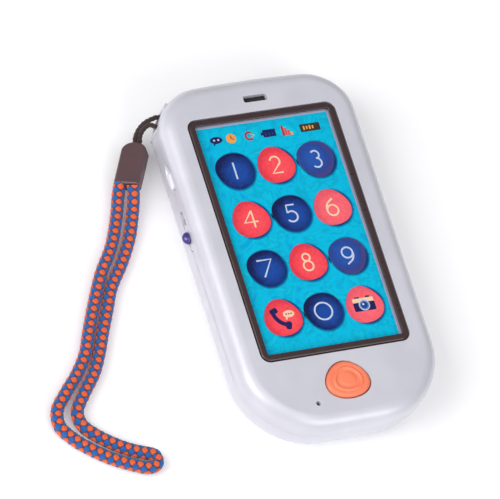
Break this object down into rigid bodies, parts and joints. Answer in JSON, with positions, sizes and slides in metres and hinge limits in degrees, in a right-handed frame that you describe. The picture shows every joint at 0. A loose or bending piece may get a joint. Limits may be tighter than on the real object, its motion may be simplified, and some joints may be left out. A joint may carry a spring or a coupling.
{
  "type": "toy cell phone",
  "caption": "Toy cell phone: round-cornered case, printed touch screen under a clear window, home button, side rocker and slide switch, battery bay and braided wrist strap.",
  "frame": {"origin": "on the flat back, in the middle of the case outline", "axes": "+Y along the case towards the earpiece slot, +Z out of the screen face, +X across the width; the phone lies on its back"},
  "size_m": [0.1336, 0.1299, 0.0214],
  "materials": {
    "pearl_case": "pearl satin paint",
    "bezel_brown": "gloss",
    "clear_window": "clear acrylic",
    "screen_print": "printed film",
    "touch_film": "clear film",
    "light_guide_white": "milky",
    "baffle_cloth": "matte",
    "button_orange": "satin",
    "rocker_white": "satin",
    "knob_navy": "gloss",
    "switch_black": "matte",
    "plated_steel": "plated",
    "board_green": "solder mask",
    "epoxy_black": "satin",
    "led_white": "clear",
    "speaker_paper": "matte",
    "battery_wrap": "printed wrap",
    "wire_red": "satin",
    "wire_black": "satin",
    "clamp_plum": "satin",
    "tie_cord_dark": "matte",
    "braid_orange_blue": "woven"
  },
  "bodies": {
    "case": {"battery_1": "battery_wrap", "battery_2": "battery_wrap", "battery_3": "battery_wrap", "battery_wire_black": "wire_black", "battery_wire_red": "wire_red", "bezel_frame": "bezel_brown", "board_screw_1": "plated_steel", "board_screw_2": "plated_steel", "capacitor": "switch_black", "case_screw_1": "plated_steel", "case_screw_2": "plated_steel", "case_screw_3": "plated_steel", "case_screw_4": "plated_steel", "circuit_board": "board_green", "earpiece_baffle": "baffle_cloth", "flat_contact_1": "plated_steel", "flat_contact_2": "plated_steel", "flat_contact_3": "plated_steel", "front_shell": "pearl_case", "home_switch": "switch_black", "led_1": "led_white", "led_2": "led_white", "led_3": "led_white", "light_guide": "light_guide_white", "microphone": "plated_steel", "printed_screen_sheet": "screen_print", "rear_shell": "pearl_case", "screen_window": "clear_window", "slide_switch_body": "plated_steel", "sound_chip": "epoxy_black", "speaker_cone": "speaker_paper", "speaker_frame": "switch_black", "speaker_magnet": "plated_steel", "speaker_wire_black": "wire_black", "speaker_wire_red": "wire_red", "spring_contact_1": "plated_steel", "spring_contact_2": "plated_steel", "spring_contact_3": "plated_steel", "strap_bar": "plated_steel", "strap_clamp": "clamp_plum", "tie_cord": "tie_cord_dark", "touch_panel": "touch_film", "volume_switch_down": "switch_black", "volume_switch_up": "switch_black", "wrist_cord": "braid_orange_blue"},
    "home_key": {"home_button": "button_orange"},
    "rocker": {"volume_rocker": "rocker_white"},
    "slider": {"slide_switch_knob": "knob_navy"},
    "door": {"battery_door": "pearl_case", "door_screw": "plated_steel"}
  },
  "joints": [
    {"name": "home_press", "type": "slide", "parent": "case", "child": "home_key", "axis": [0, 0, -1], "range_m": [0, 0.0009], "stiffness_N_per_m": 400, "springref_m": -0.0005},
    {"name": "volume_rock", "type": "hinge", "parent": "case", "child": "rocker", "pos_m": [-0.03265, 0.0337, 0.0129], "axis": [0, 0, 1], "range_deg": [-4, 4], "stiffness_Nm_per_rad": 0.05},
    {"name": "power_slide", "type": "slide", "parent": "case", "child": "slider", "axis": [0, 1, 0], "range_m": [0, 0.0045]},
    {"name": "battery_door_lift", "type": "slide", "parent": "case", "child": "door", "axis": [0, 0, -1], "range_m": [0, 0.03]}
  ]
}
